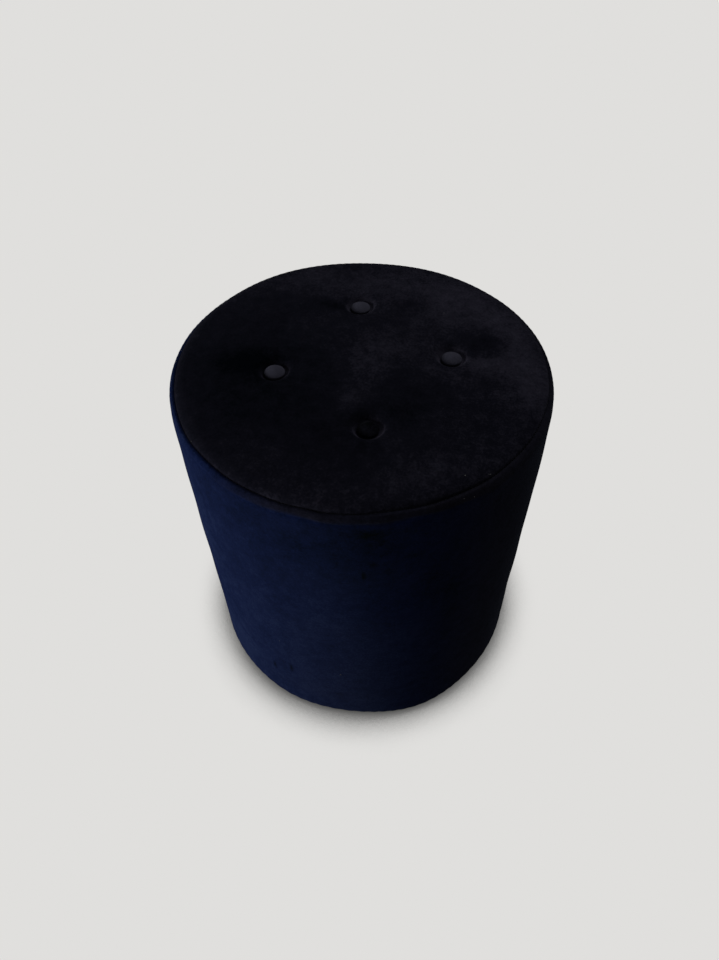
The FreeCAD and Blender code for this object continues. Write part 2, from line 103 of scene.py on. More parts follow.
def lineRun(startR, startZ, endR, endZ):
    length = math.hypot(endR - startR, endZ - startZ)
    stepR = (endR - startR) / length
    stepZ = (endZ - startZ) / length
    lean = math.atan2(-stepZ, stepR)

    def at(d):
        return startR + stepR * d, startZ + stepZ * d, np.full_like(d, lean)

    return length, at


def walk(runs, s):
    # radius, height and lean of the normal from upright, s metres along the runs
    s = np.asarray(s, float)
    r, z, lean = np.zeros_like(s), np.zeros_like(s), np.zeros_like(s)
    start = 0.0
    for length, at in runs:
        found = at(np.maximum(s - start, 0))
        beyond = s >= start
        r, z, lean = (np.where(beyond, new, old) for new, old in zip(found, (r, z, lean)))
        start += length
    return r, z, lean


def roundedRuns(radius, height, rise, corner):
    # a crown that runs smoothly into a rounded corner
    cornerR = radius - corner
    crown = (cornerR ** 2 + (rise + corner) ** 2 - corner ** 2) / (2 * rise)
    lean = math.asin(cornerR / (crown - corner))
    cornerZ = height - rise - corner
    return lean, cornerZ, [
        arcRun(0, height - crown, crown, 0, lean),
        arcRun(cornerR, cornerZ, corner, lean, math.pi / 2),
    ]


crownLean, cornerZ, drumRuns = roundedRuns(
    drum["radius"], drum["height"], drum["crownRise"], drum["topCorner"])
baseR = drum["radius"] - drum["baseCorner"]
baseZ = drum["hemHeight"] + drum["baseCorner"]
hemR = drum["radius"] - drum["hemWidth"]
drumRuns += [
    lineRun(drum["radius"], cornerZ, drum["radius"], baseZ),
    arcRun(baseR, baseZ, drum["baseCorner"], math.pi / 2, math.pi),
    lineRun(baseR, drum["hemHeight"], hemR, drum["hemHeight"]),
]
crownEnd, cornerEnd, wallEnd, baseEnd, hemEnd = np.cumsum([run[0] for run in drumRuns])
seamAt = crownEnd + drum["topCorner"] * (drum["seamLean"] - crownLean)


# small shaping tools

def smoothStep(low, high, value):
    t = np.clip((value - low) / (high - low), 0, 1)
    return t * t * (3 - 2 * t)


def plateau(value, rise, fall):
    # 1 between two soft edges, each given as its start and its end
    return smoothStep(*rise, value) * (1 - smoothStep(*fall, value))


def hump(distance, width):
    return np.exp(-(distance / width) ** 2)


def turnBetween(phi, middle):
    # the angle from middle to phi, the short way round
    return (phi - middle + math.pi) % (2 * math.pi) - math.pi


def lowerOf(first, second, blend):
    # the lower of two heights with a rounded meeting
    mix = np.clip(0.5 + 0.5 * (second - first) / blend, 0, 1)
    return second * (1 - mix) + first * mix - blend * mix * (1 - mix)


def unevenness(points, size, seed, count=14):
    # a few crossed waves of about that size, with a spread of about 1
    draw = np.random.default_rng(seed)
    total = np.zeros(points.shape[:-1])
    for k in range(count):
        way = draw.normal(size=3)
        way *= 2 * math.pi / (size * draw.uniform(0.7, 1.6) * np.linalg.norm(way))
        total += np.sin(points @ way + draw.uniform(0, 2 * math.pi))
    return total / math.sqrt(count / 2)


# tufts: a pocket under each button with a rounded lip, and pulls that run out from it

tuft = {
    "sink": 11 * mm,
    "floorRadius": 11.4 * mm,
    "foot": 2.5 * mm,
    "lip": 14 * mm,
    "slope": math.radians(62),
    "blend": 2.2 * mm,
    "pull": 1.0 * mm,
    "pullReach": 46 * mm,
    "puckers": 0.32 * mm,
    "puckerCount": 9,
    "puckersFrom": 20 * mm,
    "puckersFade": (24 * mm, 48 * mm),
    "slopeBeyond": 0.3,  # of the pocket's surface outside its lip, where the crown lies lower
    "band": (55 * mm, 135 * mm),  # the ring of the top that holds the tufts and has the finer mesh
}
tuftSpots = []
for k in (1, 2, 3, 4):
    tuftLow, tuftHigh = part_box(f"button_cover_{k}")
    tuftSpots.append(((tuftLow + tuftHigh) / 2).xy)


def bowl(rho, depth):
    # height of a tuft's pocket at a distance from its middle, so deep under the surface
    floorZ = drum["height"] - tuft["sink"]
    foot, lip = tuft["foot"] + depth, tuft["lip"] - depth
    footR, footZ = tuft["floorRadius"], floorZ + tuft["foot"]
    lipR = footR + (tuft["foot"] + tuft["lip"]) * math.sin(tuft["slope"])
    lipZ = footZ - (tuft["foot"] + tuft["lip"]) * math.cos(tuft["slope"])
    turnR = footR + foot * math.sin(tuft["slope"])
    up = footZ - np.sqrt(np.maximum(foot ** 2 - np.clip(rho - footR, 0, foot) ** 2, 0))
    over = lipZ + np.sqrt(np.maximum(lip ** 2 - np.clip(lipR - rho, 0, lip) ** 2, 0))
    over = over + tuft["slopeBeyond"] * np.maximum(rho - lipR, 0)
    return np.where(rho < turnR, up, over)


def tufted(x, y, z, depth):
    for k, spot in enumerate(tuftSpots):
        rho = np.hypot(x - spot.x, y - spot.y)
        around = np.arctan2(y - spot.y, x - spot.x)
        near = hump(rho, tuft["pullReach"])
        z = z - tuft["pull"] * near
        fold = np.cos(tuft["puckerCount"] * around + 1.3 * np.sin(2 * around + k) + 2.1 * k)
        ring = plateau(rho, (tuft["floorRadius"], tuft["puckersFrom"]), tuft["puckersFade"])
        z = z + tuft["puckers"] * fold * ring
        z = lowerOf(z, bowl(rho, depth), tuft["blend"])
    return z


# where the two covers meet

seam = {
    "waves": ((0.55 * mm, 3, 0.7), (0.4 * mm, 7, 2.1), (0.22 * mm, 19, 0.4)),
    "jog": 0.8 * mm,
    "jogAt": math.radians(-102.5),
    "jogTurn": 0.03,  # radians over which it happens, and over which it is made good
    "jogReach": 0.22,
    "edge": 0.6 * mm,  # from the seam's line to the start of each cover's turn-in
    "rollDepth": 1.1 * mm,
    "rollWidth": 1.5 * mm,
    "shoulder": (0.3 * mm, 5 * mm, 3 * mm),  # rise, distance from the seam's line, width
    "puckers": 0.24 * mm,
    "puckerPitch": 9 * mm,
    "puckerReach": 5 * mm,
    "puckerGap": 1.6 * mm,  # none this near the stitches
    "ridge": 0.8 * mm,  # where the turned-down allowance lifts the side cover
    "ridgeRise": (0.6 * mm, 2.6 * mm),
    "ridgeEnd": 9 * mm,
    "ridgeFade": 0.9 * mm,
}


def seamLine(phi):
    drift = sum(size * np.sin(count * phi + shift) for size, count, shift in seam["waves"])
    turn = turnBetween(phi, seam["jogAt"])
    return seamAt + drift + seam["jog"] * np.tanh(turn / seam["jogTurn"]) * hump(turn, seam["jogReach"])


def seamLift(s, phi):
    d = s - seamLine(phi)
    away = np.abs(d)
    pitch = seam["puckerPitch"]
    shoulder, shoulderAt, shoulderWidth = seam["shoulder"]
    lift = shoulder * hump(away - shoulderAt, shoulderWidth) - seam["rollDepth"] * hump(d, seam["rollWidth"])
    wave = np.sin(drum["radius"] * phi * 2 * math.pi / pitch + 2.2 * np.sin(5 * phi + d / pitch))
    lift += seam["puckers"] * wave * np.exp(-away / seam["puckerReach"]) * (1 - hump(d, seam["puckerGap"]))
    end = seam["ridgeEnd"] + 0.7 * mm * np.sin(11 * phi + 0.5) + 0.4 * mm * np.sin(29 * phi)
    ridge = plateau(d, seam["ridgeRise"], (end - seam["ridgeFade"], end + seam["ridgeFade"]))
    return lift + seam["ridge"] * ridge


# the side cover's closing seam at the back, its gathers at the base, and how uneven both covers are

sideShape = {
    "closingAt": math.radians(90),
    "grooveDepth": 1.1 * mm,
    "grooveWidth": 1.2 * mm,
    "drift": 0.5 * mm,  # of the closing seam from its line, and the height in which it repeats
    "driftPitch": 90 * mm,
    "shoulder": (0.45 * mm, 4.5 * mm, 2.6 * mm),  # rise, distance from the groove, width
    "closingPuckers": 0.2 * mm,
    "closingPitch": 11 * mm,
    "closingReach": 7 * mm,
    "closingGap": 1.8 * mm,
    "gathers": 0.35 * mm,
    "gatherCount": 84,
    "gatherRise": (-8 * mm, 12 * mm),  # from the end of the wall
    "uneven": 0.45 * mm,
    "unevenSize": 130 * mm,
    "unevenEase": (40 * mm, 30 * mm),  # at the top and the bottom of the wall
    "topUneven": 0.3 * mm,
    "topUnevenSize": 75 * mm,
    "topEase": 30 * mm,
    "hemEase": 11 * mm,  # the hem lies flat again before the dust cover
}


def closingDrift(z):
    return sideShape["drift"] * np.sin(z * 2 * math.pi / sideShape["driftPitch"])


def closingLift(phi, z):
    arc = drum["radius"] * turnBetween(phi, sideShape["closingAt"]) + closingDrift(z)
    shoulder, shoulderAt, shoulderWidth = sideShape["shoulder"]
    lift = shoulder * hump(np.abs(arc) - shoulderAt, shoulderWidth)
    lift -= sideShape["grooveDepth"] * hump(arc, sideShape["grooveWidth"])
    wave = np.cos(z * 2 * math.pi / sideShape["closingPitch"] + np.sin(z * 40))
    near = hump(arc, sideShape["closingReach"]) * (1 - hump(arc, sideShape["closingGap"]))
    return lift + sideShape["closingPuckers"] * wave * near


def gatherLift(s, phi):
    grow = smoothStep(*sideShape["gatherRise"], s - wallEnd)
    wave = np.sin(sideShape["gatherCount"] * phi + 2 * np.sin(5 * phi) + 1.2 * np.sin(13 * phi))
    return sideShape["gathers"] * grow * wave


# how the real drum departs from a true one: (angle, metres along the outline, reach round, reach along, rise)

swells = (
    (126, seamAt - 2 * mm, 75 * mm, 26 * mm, 1.7 * mm),
    (158, seamAt + 4 * mm, 50 * mm, 26 * mm, 1.2 * mm),
    (-163, seamAt + 6 * mm, 36 * mm, 26 * mm, -1.2 * mm),
    (84, seamAt - 4 * mm, 60 * mm, 26 * mm, -1.0 * mm),
    (-5, seamAt + 4 * mm, 55 * mm, 30 * mm, -1.0 * mm),
    (-20, seamAt + 110 * mm, 70 * mm, 95 * mm, 0.9 * mm),
    (-20, wallEnd - 40 * mm, 60 * mm, 60 * mm, -0.9 * mm),
    (-70, wallEnd + 6 * mm, 60 * mm, 26 * mm, 4.0 * mm),
    (-118, wallEnd + 6 * mm, 40 * mm, 24 * mm, 0.9 * mm),
)


def swell(s, phi, points):
    lift = np.zeros_like(s)
    for angle, along, reachRound, reachAlong, rise in swells:
        arc = drum["radius"] * turnBetween(phi, math.radians(angle))
        lift += rise * hump(arc, reachRound) * hump(s - along, reachAlong)
    lift *= 1 - smoothStep(baseEnd, baseEnd + sideShape["hemEase"], s)
    above, under = sideShape["unevenEase"]
    wall = plateau(s, (cornerEnd, cornerEnd + above), (wallEnd - under, wallEnd))
    lift += sideShape["uneven"] * wall * unevenness(points, sideShape["unevenSize"], 5)
    top = 1 - smoothStep(crownEnd - sideShape["topEase"], crownEnd, s)
    return lift + sideShape["topUneven"] * top * unevenness(points, sideShape["topUnevenSize"], 9)


def drumPoint(s, phi, depth=0.0, fine=True):
    # a point of the real drum's surface, or so deep under it
    r, z, lean = walk(drumRuns, s)
    points = np.stack([r * np.cos(phi), r * np.sin(phi), z], axis=-1)
    lift = swell(s, phi, points) - depth
    if fine:
        below = s > seamLine(phi)
        lift = lift + seamLift(s, phi) + gatherLift(s, phi) + np.where(below, closingLift(phi, z), 0)
    r = r + lift * np.sin(lean)
    z = z + lift * np.cos(lean)
    x, y = r * np.cos(phi), r * np.sin(phi)
    return np.stack([x, y, tufted(x, y, z, depth)], axis=-1)


# meshes

def stopsThrough(*stretches):
    # distances from 0, given as (end, step) stretches
    stops = [0.0]
    for end, step in stretches:
        count = max(1, round((end - stops[-1]) / step))
        stops += list(np.linspace(stops[-1], end, count + 1)[1:])
    return np.array(stops)


def discGrid(ringCount):
    # squares bent into rings, so no vertex is a crowded pole: ring and angle of each vertex, faces, rim
    steps = np.arange(-ringCount, ringCount + 1)
    i, j = np.meshgrid(steps, steps, indexing="ij")
    ring = np.maximum(np.abs(i), np.abs(j))
    wide = np.abs(i) >= np.abs(j)
    share = np.where(wide, j / np.where(i == 0, 1, i), i / np.where(j == 0, 1, j))
    phi = np.where(wide, share * math.pi / 4, math.pi / 2 - share * math.pi / 4)
    phi = phi + np.where(np.where(wide, i, j) < 0, math.pi, 0)
    phi = phi % (2 * math.pi)
    index = np.arange(ring.size).reshape(ring.shape)
    faces = np.stack([index[:-1, :-1], index[1:, :-1], index[1:, 1:], index[:-1, 1:]], axis=-1)
    rim = index[ring == ringCount]
    rim = rim[np.argsort(phi.ravel()[rim])]
    return ring.ravel(), phi.ravel(), faces.reshape(-1, 4), rim


def bandFaces(upper, lower):
    # quads between two closed loops that run anticlockwise, the upper one inside or above
    return np.stack([upper, lower, np.roll(lower, -1), np.roll(upper, -1)], axis=-1)


def makePiece(name, points, faces, material, smooth=True):
    mesh = bpy.data.meshes.new(name)
    mesh.from_pydata([list(point) for point in points], [], [list(face) for face in faces])
    mesh.update()
    if smooth:
        mesh.shade_smooth()
    mesh.materials.append(material)
    piece = bpy.data.objects.new(name, mesh)
    bpy.context.scene.collection.objects.link(piece)
    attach(piece, "root")
    return piece


def thicken(piece, thickness):
    solid = piece.modifiers.new("thickness", "SOLIDIFY")
    solid.thickness = thickness
    solid.offset = -1
    solid.use_rim = True


def paint(piece, name, values):
    attribute = piece.data.attributes.new(name, "FLOAT", "POINT")
    attribute.data.foreach_set("value", np.asarray(values, np.float32))


# material building

def newMaterial(name, roughness=0.8, metallic=0.0, specular=0.5):
    material = bpy.data.materials.new(name)
    material.use_nodes = True
    shader = material.node_tree.nodes["Principled BSDF"]
    shader.inputs["Roughness"].default_value = roughness
    shader.inputs["Metallic"].default_value = metallic
    shader.inputs["Specular IOR Level"].default_value = specular
    return material, material.node_tree, shader


def addNode(tree, kind, inputs=(), **settings):
    made = tree.nodes.new("ShaderNode" + kind)
    for name, value in settings.items():
        setattr(made, name, value)
    for name, value in dict(inputs).items():
        if isinstance(value, bpy.types.NodeSocket):
            tree.links.new(value, made.inputs[name])
        else:
            made.inputs[name].default_value = value
    return made


def noise(tree, place, scale, detail=3, roughness=0.55, stretch=None):
    if stretch:
        place = addNode(tree, "Mapping", {"Vector": place, "Scale": stretch}).outputs[0]
    inputs = {"Vector": place, "Scale": scale, "Detail": detail, "Roughness": roughness}
    return addNode(tree, "TexNoise", inputs).outputs[0]


def multiplyAdd(tree, value, gain, base):
    return addNode(tree, "Math", {0: value, 1: gain, 2: base}, operation="MULTIPLY_ADD").outputs[0]


def ramp(tree, value, stops):
    made = addNode(tree, "ValToRGB", {"Fac": value})
    band = made.color_ramp
    while len(band.elements) < len(stops):
        band.elements.new(0.5)
    for element, (place, colour) in zip(band.elements, stops):
        element.position = place
        element.color = (*colour, 1)
    return made.outputs["Color"]


def bump(tree, shader, height, distance, strength=1.0):
    made = addNode(tree, "Bump", {"Height": height, "Distance": distance, "Strength": strength})
    tree.links.new(made.outputs["Normal"], shader.inputs["Normal"])


def shade(colour, gain):
    return [min(1.0, channel * gain) for channel in colour]


def objectPlace(tree):
    return addNode(tree, "TexCoord").outputs["Object"]


# velvet

velvetLook = {
    "clouds": (16, 0.3),  # noise scale and share of the tone
    "mottle": (95, 0.5),
    "grain": (420, 0.6),
    "pile": (1500, 0.25 * mm, 0.6),  # noise scale, bump height and strength
    "sheenRoughness": 0.45,
}


def velvet(name, slot, gains, sheen, sheenTint, greyAndShade=None):
    material, tree, shader = newMaterial(name, roughness=1.0, specular=0.0)
    place = objectPlace(tree)
    # this attribute holds the nap's own marks together with painted sheen, highlights and shade
    napAndPaintedLight = addNode(tree, "Attribute", attribute_name="napAndPaintedLight").outputs["Fac"]
    tone = multiplyAdd(tree, napAndPaintedLight, 1.0, 0.5)
    for key, detail in (("clouds", 2), ("mottle", 4), ("grain", 3)):
        scale, share = velvetLook[key]
        part = noise(tree, place, scale, detail)
        part = multiplyAdd(tree, part, share, -0.5 * share)
        tone = addNode(tree, "Math", {0: tone, 1: part}, operation="ADD").outputs[0]
    colour = slotColours[slot]
    stops = [(level, [channel * part for channel, part in zip(colour, gain)])
             for level, gain in zip((0.0, 0.5, 1.0), gains)]
    finish = ramp(tree, tone, stops)
    # the side's fade to the top's darker colour, which round the right side is painted shade
    if greyAndShade:
        faded = [(level, [greyAndShade * gain[2] * channel for channel in slotColours["top_velvet"]])
                 for level, gain in zip((0.0, 0.5, 1.0), gains)]
        share = addNode(tree, "Attribute", attribute_name="greyAndShade").outputs["Fac"]
        blend = addNode(tree, "Mix", {0: share, 6: finish, 7: ramp(tree, tone, faded)}, data_type="RGBA")
        finish = blend.outputs[2]
    tree.links.new(finish, shader.inputs["Base Color"])
    shader.inputs["Sheen Weight"].default_value = sheen
    shader.inputs["Sheen Roughness"].default_value = velvetLook["sheenRoughness"]
    shader.inputs["Sheen Tint"].default_value = (*sheenTint, 1)
    scale, height, strength = velvetLook["pile"]
    bump(tree, shader, noise(tree, place, scale, 2), height, strength)
    return material


# how much of each channel of the slot's colour shows where the nap and the painted sheen, highlights and shade
# make it dark, level and light
topVelvet = velvet("topVelvet", "top_velvet", ((0.03, 0.07, 0.09), (0.36, 0.38, 0.42), (1.5, 1.5, 1.5)),
                   0.01, (0.8, 0.8, 1.0))
sideVelvet = velvet("sideVelvet", "side_velvet", ((0.02, 0.06, 0.04), (0.24, 0.38, 0.62), (0.9, 1.15, 1.2)),
                    0.025, (0.7, 0.8, 1.0), greyAndShade=0.9)
buttonVelvet = velvet("buttonVelvet", "button_velvet", ((0.05, 0.06, 0.06), (0.4, 0.4, 0.4), (1.4, 1.4, 1.3)),
                      0.02, (0.9, 0.9, 1.0))


# the top cover

topCover = {
    "thickness": 0.85 * mm,
    "rings": ((tuft["band"][0], 4 * mm), (tuft["band"][1], 1.2 * mm), (crownEnd, 4 * mm),
              (seamAt - 3 * mm, 1.4 * mm), (seamAt - seam["edge"], 0.4 * mm)),  # where each spacing ends
    "seamFrom": 120 * mm,  # from here outwards the rings bend to the seam's line
    # a painted highlight along the rounded rim, just inside the seam
    "rimHighlight": 0.03,
    "rimBand": (9 * mm, 3 * mm),  # inside the seam
    "turn": 1.5 * mm,  # cloth taken up by the turn at the seam
    "turnIn": ((-0.3 * mm, 1.35 * mm), (0.0, 1.75 * mm), (0.6 * mm, 2.0 * mm)),  # past the seam's line, depth
    "allowance": 11.2 * mm,
    "allowanceDepth": 2.05 * mm,
}

# where the nap of the top lies lighter or darker, with painted sheen in the broad lighter patches toward the
# back and right: x, y, half length, half width, turn in degrees, shade
topNapAndPaintedSheen = (
    (95, 105, 75, 45, -30, 0.22),
    (165, 0, 26, 90, 12, 0.3),
    (8, -15, 26, 30, 0, 0.22),
    (124, -8, 16, 10, 0, 0.3),
    (0, 130, 45, 22, 10, 0.14),
    (-10, -62, 20, 12, 60, 0.3),
    (45, 15, 45, 25, -20, 0.12),
    (80, -25, 30, 12, -35, 0.14),
    (135, 25, 24, 20, 0, -0.28),
    (60, 95, 26, 14, 30, -0.2),
    (38, -84, 26, 16, 25, -0.16),
    (-35, 95, 22, 8, -25, -0.3),
    (-118, 0, 34, 16, 0, -0.3),
    (-130, -25, 50, 55, 20, -0.14),
    (-105, -10, 75, 70, 0, -0.22),
    (-45, -85, 95, 60, 0, -0.16),
    (-110, 60, 50, 40, 0, -0.1),
    (40, -60, 60, 45, 0, -0.08),
    (-60, 160, 60, 18, 25, 0.12),
    (5, -125, 14, 30, 0, -0.12),
    (60, -150, 60, 14, 22, 0.1),
)


# a painted highlight on the lip round each button and over the shaded wall of its pocket, lightest on its side
# toward the front and right: shade, distance from the middle, width and the way it is lightest
lipHighlight = {"shade": 0.9, "distance": 13.6, "width": 2.8, "lightest": math.radians(-60), "dullest": 0.24}


def topTone(points):
    x, y = points[:, 0] / mm, points[:, 1] / mm
    tone = np.zeros(len(points))
    # painted highlight on each button's lip
    for spot in tuftSpots:
        rho = np.hypot(x - spot.x / mm, y - spot.y / mm)
        around = np.arctan2(y - spot.y / mm, x - spot.x / mm)
        facing = 0.5 + 0.5 * np.cos(around - lipHighlight["lightest"])
        facing = lipHighlight["dullest"] + (1 - lipHighlight["dullest"]) * facing
        tone += lipHighlight["shade"] * facing * hump(rho - lipHighlight["distance"], lipHighlight["width"])
    # the nap's marks, with painted sheen toward the back and right
    for atX, atY, long, wide, turn, lightness in topNapAndPaintedSheen:
        c, n = math.cos(math.radians(turn)), math.sin(math.radians(turn))
        u = (x - atX) * c + (y - atY) * n
        v = (y - atY) * c - (x - atX) * n
        tone += lightness * np.exp(-(u / long) ** 2 - (v / wide) ** 2)
    return tone


def makeTopCover():
    stops = stopsThrough(*topCover["rings"])
    ring, phi, faces, rim = discGrid(len(stops) - 1)
    s = stops[ring]
    s = s + (seamLine(phi) - seamAt) * smoothStep(topCover["seamFrom"], seamAt, s)
    points = [drumPoint(s, phi)]
    rimPhi = phi[rim]
    bands = [faces]
    upper = rim
    count = len(s)
    skirt = list(topCover["turnIn"])
    skirt += [(past, topCover["allowanceDepth"])
              for past in np.linspace(2 * mm, topCover["allowance"], 8)]
    for past, depth in skirt:
        points.append(drumPoint(seamLine(rimPhi) + past, rimPhi, depth, fine=False))
        lower = np.arange(count, count + len(rim))
        bands.append(bandFaces(upper, lower))
        upper = lower
        count += len(rim)
    points = np.concatenate(points)
    piece = makePiece("topCover", points, np.concatenate(bands), topVelvet)
    everyS = np.concatenate([s, np.full(count - len(s), seamAt)])
    rimStart, rimFull = topCover["rimBand"]
    # painted highlight along the rim
    rimHighlightTone = topCover["rimHighlight"] * smoothStep(seamAt - rimStart, seamAt - rimFull, everyS)
    paint(piece, "napAndPaintedLight", topTone(points) + rimHighlightTone)
    thicken(piece, topCover["thickness"])
    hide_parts("top_cover")


# the side cover

sideCover = {
    "thickness": 0.85 * mm,
    "columns": 640,
    "closingColumns": 28,
    "closingHalf": 7 * mm,  # width of the finer columns on each side of the closing seam
    "rows": ((2.4 * mm, 0.5 * mm), (13 * mm, 1.1 * mm), (cornerEnd - seamAt, 1.5 * mm),
             (wallEnd - seamAt - 10 * mm, 5 * mm), (baseEnd - seamAt, 1.6 * mm),
             (hemEnd - seamAt - seam["edge"], 2.4 * mm)),  # where each spacing ends, past the seam's edge
    "seamTill": (3 * mm, 40 * mm),  # past the seam: down to here the rows bend to its line
    "turnIn": (0.45 * mm, 1.3 * mm),  # of the top edge: past the seam's line, depth
    "overlap": 16 * mm,  # cloth turned in at the closing seam
}

# marks in the side's nap, with broad painted light on the left, strongest low down, and painted shade on the
# front right and right: angle, height, half width round, half height, shade
sideNapAndPaintedLight = (
    (-105, 380, 110, 50, -0.14),
    (-88, 330, 70, 70, -0.1),
    (-150, 50, 70, 90, 0.2),
    (-110, 60, 50, 70, 0.08),
    (-35, 250, 60, 200, -0.16),
    (10, 250, 90, 260, -0.26),
    (-89, 392, 15, 8, -0.3),
    (-78, 394, 22, 6, -0.15),
    (-86, 378, 16, 14, -0.14),
    (-89.8, 328, 1.6, 7, -0.5),
    (-87, 345, 4, 4, -0.25),
    (-76, 352, 10, 5, -0.25),
    (-124, 79, 2.4, 8, -0.55),
    (-116.5, 96, 2.0, 9, -0.5),
    (-120, 92, 7, 14, -0.15),
    (-99, 60, 9, 5, -0.2),
    (-70, 300, 12, 40, -0.12),
    (-62, 250, 16, 90, -0.12),
    (-150, 300, 34, 120, 0.12),
    (-128, 180, 30, 70, 0.08),
    (-104, 250, 26, 60, 0.06),
    (60, 260, 60, 90, 0.12),
    (120, 180, 50, 110, -0.12),
    (20, 150, 50, 70, 0.1),
)


def sideTone(points, phi):
    z = points[:, 2] / mm
    tone = np.zeros(len(points))
    # the nap's marks, with painted light on the left and painted shade on the right
    for angle, atZ, wide, tall, lightness in sideNapAndPaintedLight:
        arc = drum["radius"] / mm * turnBetween(phi, math.radians(angle))
        tone += lightness * np.exp(-(arc / wide) ** 2 - ((z - atZ) / tall) ** 2)
    return tone


# where the blue fades to grey: on a band under the seam, and round to the right as painted shade, in degrees
# from the front
sideFade = {
    "share": 0.85,
    "most": 0.95,
    "bandFrom": 408,  # height in mm of its lower edge, and half of the edge's softness
    "bandEdge": 3,
    "bandTurn": ((-50, -15), (120, 200)),
    "rightShadeTurn": ((10, 48), (100, 150)),
}


def sideGreyAndShade(points, phi):
    z = points[:, 2] / mm
    turn = np.degrees(turnBetween(phi, math.radians(-90)))
    edge = sideFade["bandFrom"] + 1.2 * np.sin(9 * phi) + 0.8 * np.sin(23 * phi + 1)
    band = smoothStep(edge - sideFade["bandEdge"], edge + sideFade["bandEdge"], z)
    band = band * plateau(turn, *sideFade["bandTurn"])
    # painted shade round the right side
    rightShade = plateau(turn, *sideFade["rightShadeTurn"])
    return np.clip(sideFade["share"] * (band + rightShade), 0, sideFade["most"])


def sideColumns():
    even = np.linspace(0, 2 * math.pi, sideCover["columns"], endpoint=False)
    half = sideCover["closingHalf"] / drum["radius"]
    close = sideShape["closingAt"] + np.linspace(-half, half, sideCover["closingColumns"])
    step = close[1] - close[0]
    even = even[(even < close[0] - step) | (even > close[-1] + step)]
    return np.sort(np.concatenate([even, close]))


def makeSideCover():
    phi = sideColumns()
    rows = seamAt + seam["edge"] + stopsThrough(*sideCover["rows"])
    s, around = np.meshgrid(rows, phi, indexing="ij")
    s = s + (seamLine(around) - seamAt) * (1 - smoothStep(*sideCover["seamTill"], s - seamAt))
    past, depth = sideCover["turnIn"]
    first = drumPoint(seamLine(phi) + past, phi, depth, fine=False)
    points = np.concatenate([first[None], drumPoint(s, around)]).reshape(-1, 3)
    index = np.arange(len(points)).reshape(-1, len(phi))
    faces = np.concatenate([bandFaces(index[k], index[k + 1]) for k in range(len(index) - 1)])
    piece = makePiece("sideCover", points, faces, sideVelvet)
    everyPhi = np.tile(phi, len(index))
    paint(piece, "napAndPaintedLight", sideTone(points, everyPhi))
    paint(piece, "greyAndShade", sideGreyAndShade(points, everyPhi))
    thicken(piece, sideCover["thickness"])
    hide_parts("side_cover")


# stitches

stitches = {
    "length": 3.1 * mm,
    "gap": 0.7 * mm,
    "radius": 0.27 * mm,
    "bow": 0.6,  # of its middle, in its radii
    "depth": 1.2 * mm,
    "closingRise": 0.05 * mm,  # above the cloth
}


def stitchMesh(start, end, outward):
    # one short plump stitch between two points, bowed outward
    along = end - start
    length = np.linalg.norm(along)
    along = along / length
    side = np.cross(along, outward)
    side /= np.linalg.norm(side)
    up = np.cross(side, along)
    rings = ((0.0, 0.25), (0.12, 0.8), (0.5, 1.0), (0.88, 0.8), (1.0, 0.25))
    turns = np.arange(6) * math.pi / 3
    points = []
    for share, size in rings:
        rise = stitches["radius"] * stitches["bow"] * math.sin(math.pi * share)
        middle = start + along * length * share + up * rise
        for turn in turns:
            points.append(middle + stitches["radius"] * size * (math.cos(turn) * side + math.sin(turn) * up))
    faces = [[6 * k + n, 6 * k + (n + 1) % 6, 6 * k + 6 + (n + 1) % 6, 6 * k + 6 + n]
             for k in range(len(rings) - 1) for n in range(6)]
    faces.append(list(range(5, -1, -1)))
    faces.append([6 * len(rings) - 6 + n for n in range(6)])
    return np.array(points), faces


def joinParts(parts):
    points, faces, count = [], [], 0
    for partPoints, partFaces in parts:
        points.append(partPoints)
        faces += [[index + count for index in face] for face in partFaces]
        count += len(partPoints)
    return np.concatenate(points), faces


def makeStitches(material):
    circle = 2 * math.pi * walk(drumRuns, seamAt)[0]
    count = round(float(circle) / (stitches["length"] + stitches["gap"]))
    step = 2 * math.pi / count
    half = step / 2 * stitches["length"] / (stitches["length"] + stitches["gap"])
    phi = np.arange(count) * step
    ends = [drumPoint(seamLine(phi + turn), phi + turn, stitches["depth"], fine=False)
            for turn in (-half, half)]
    lean = drum["seamLean"]
    outward = np.stack([np.cos(phi) * math.sin(lean), np.sin(phi) * math.sin(lean),
                        np.full(count, math.cos(lean))], axis=-1)
    parts = [stitchMesh(a, b, out) for a, b, out in zip(ends[0], ends[1], outward)]
    points, faces = joinParts(parts)
    piece = makePiece("seamStitches", points, faces, material)
    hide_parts("seam_thread")


def makeClosingStitches(material):
    rows = np.arange(cornerEnd, baseEnd, stitches["length"] + stitches["gap"])
    closing = sideShape["closingAt"]
    parts = []
    out = np.array([math.cos(closing), math.sin(closing), 0.0])
    for s in rows:
        phi = closing - closingDrift(walk(drumRuns, s)[1]) / drum["radius"]
        start, end = [drumPoint(np.array([s + d]), np.array([phi]))[0] + out * stitches["closingRise"]
                      for d in (0, stitches["length"])]
        parts.append(stitchMesh(start, end, out))
    points, faces = joinParts(parts)
    makePiece("closingStitches", points, faces, material)


# covered buttons

button = {
    "height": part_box("button_cover_1")[1].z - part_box("button_cover_1")[0].z,
    "radius": (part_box("button_cover_1")[1].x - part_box("button_cover_1")[0].x) / 2,
    "edge": 1.8 * mm,
    "hole": 7 * mm,
    "thickness": 0.75 * mm,
    "pleats": 17,
    "pleatDepth": 0.22 * mm,
    # the right, back and left buttons lighter as painted sheen, the front one darker as painted shade
    "napAndPaintedLight": (0.45, 0.8, 0.65, -0.4),  # right, back, left, front
}


